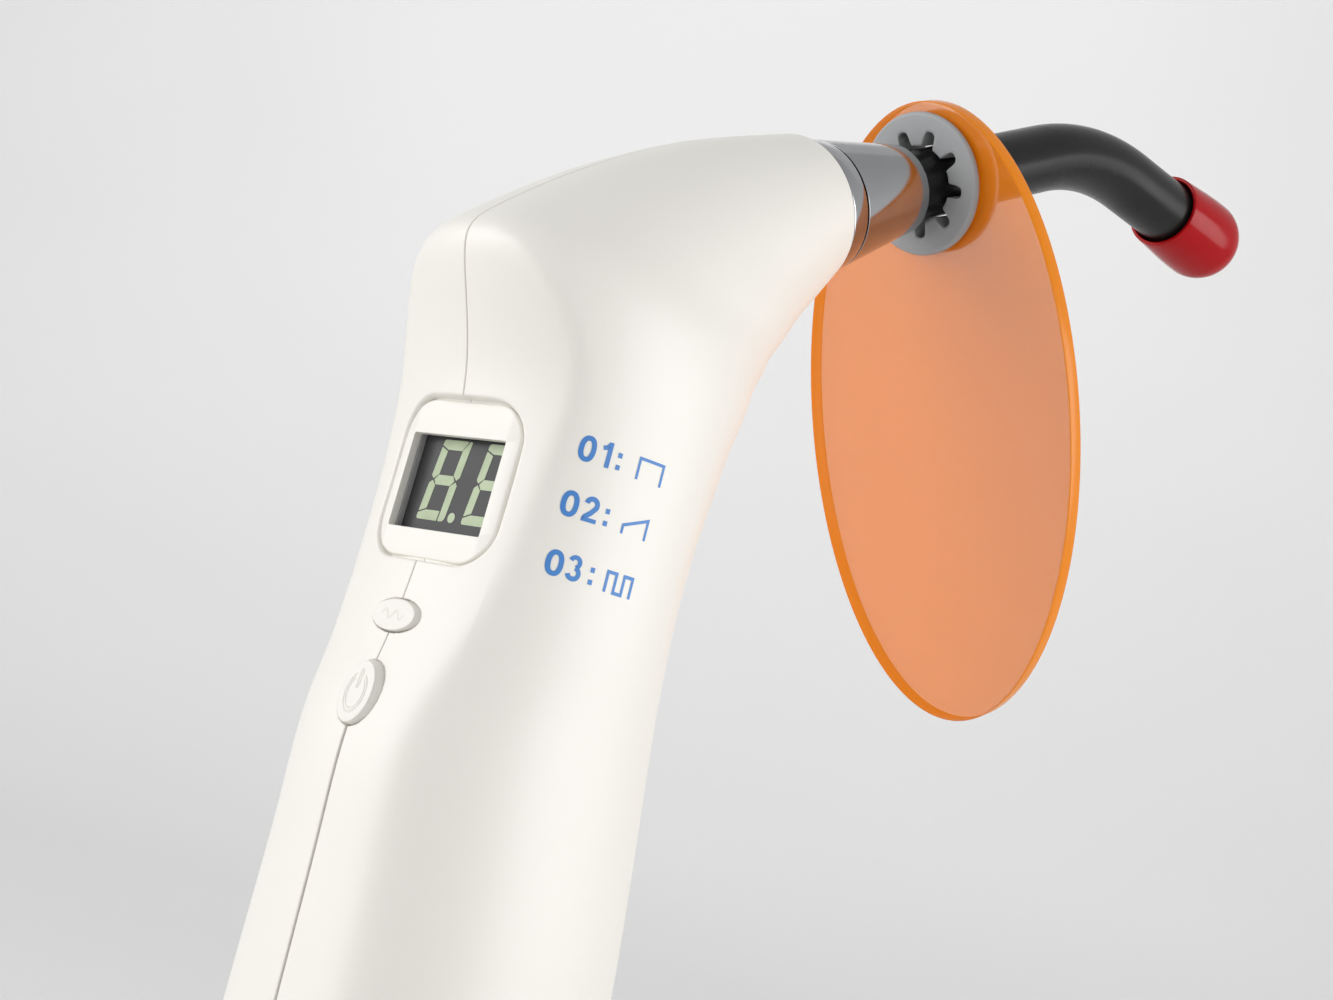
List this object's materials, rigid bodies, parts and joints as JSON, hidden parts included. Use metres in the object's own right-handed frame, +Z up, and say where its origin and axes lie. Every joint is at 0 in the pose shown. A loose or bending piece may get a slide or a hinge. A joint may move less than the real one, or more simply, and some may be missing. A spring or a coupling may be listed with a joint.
{
  "type": "dental curing light",
  "caption": "cordless pistol-shaped curing light: white two-half handle with display and two buttons, chrome nose, turning bent light guide, orange oval eye shield, red tip cap",
  "frame": {"origin": "middle of the flat base of the handle, where it drops into a charging stand", "axes": "+Z up along the lower handle, +X forward to the side the nose leans to, +Y to the left for someone facing the nose's way; the shell halves meet on Y = 0"},
  "size_m": [0.1245, 0.038, 0.183],
  "materials": {
    "white_shell": "satin warm white",
    "dark_display": "dark display glass",
    "grey_plastic": "matte",
    "chrome": "polished",
    "steel": "plain",
    "aluminium": "machined",
    "gold_contact": "plated",
    "grey_rubber": "soft matte",
    "black_sheath": "semi-gloss",
    "glass_fibre": "polished ends",
    "orange_plate": "transparent orange",
    "red_cap": "glossy translucent red",
    "board_green": "solder mask",
    "cell_sleeve": "heat-shrink sleeve",
    "wire_red": "insulation"
  },
  "bodies": {
    "handpiece": {"left_shell": "white_shell", "right_shell": "white_shell", "base_cap": "white_shell", "display_bezel": "white_shell", "display_frame": "grey_plastic", "display_panel": "dark_display", "mode_switch": "grey_plastic", "power_switch": "grey_plastic", "main_board": "board_green", "controller_chip": "dark_display", "driver_coil": "dark_display", "buzzer": "dark_display", "battery_cell": "cell_sleeve", "battery_cradle": "grey_plastic", "contact_plate": "gold_contact", "contact_spring": "steel", "charge_pin_left": "gold_contact", "charge_pin_right": "gold_contact", "case_screw_1": "steel", "case_screw_2": "steel", "case_screw_3": "steel", "nose_ring": "chrome", "nose_cone": "chrome", "reflector": "aluminium", "led_emitter": "glass_fibre", "led_board": "aluminium", "heat_sink": "aluminium", "led_lead": "wire_red", "battery_lead": "wire_red"},
    "mode_button_body": {"mode_button": "white_shell", "mode_plunger": "grey_plastic"},
    "power_button_body": {"power_button": "white_shell", "power_plunger": "grey_plastic"},
    "guide_seat": {"guide_collet": "grey_rubber"},
    "light_guide": {"light_guide_sheath": "black_sheath", "light_guide_fibre": "glass_fibre", "guide_ferrule": "steel"},
    "shield_hub": {"shield_grommet": "grey_rubber"},
    "shield": {"shield_plate": "orange_plate"},
    "cap": {"tip_cap": "red_cap"}
  },
  "joints": [
    {"name": "mode_press", "type": "slide", "parent": "handpiece", "child": "mode_button_body", "axis": [1, 0, 0], "range_m": [0, 0.0004], "stiffness_N_per_m": 400},
    {"name": "power_press", "type": "slide", "parent": "handpiece", "child": "power_button_body", "axis": [1, 0, 0], "range_m": [0, 0.0004], "stiffness_N_per_m": 400},
    {"name": "guide_turn", "type": "hinge", "parent": "handpiece", "child": "guide_seat", "pos_m": [0.0454, 0, 0.165], "axis": [0.887, 0, 0.4617], "continuous": true},
    {"name": "guide_pull", "type": "slide", "parent": "guide_seat", "child": "light_guide", "axis": [0.887, 0, 0.4617], "range_m": [0, 0.012]},
    {"name": "shield_slide", "type": "slide", "parent": "light_guide", "child": "shield_hub", "axis": [0.887, 0, 0.4617], "range_m": [-0.003, 0.014]},
    {"name": "shield_turn", "type": "hinge", "parent": "shield_hub", "child": "shield", "pos_m": [0.0454, 0, 0.165], "axis": [0.9092, 0, 0.4163], "continuous": true},
    {"name": "cap_pull", "type": "slide", "parent": "light_guide", "child": "cap", "axis": [0.9982, 0, -0.06], "range_m": [0, 0.015]}
  ]
}
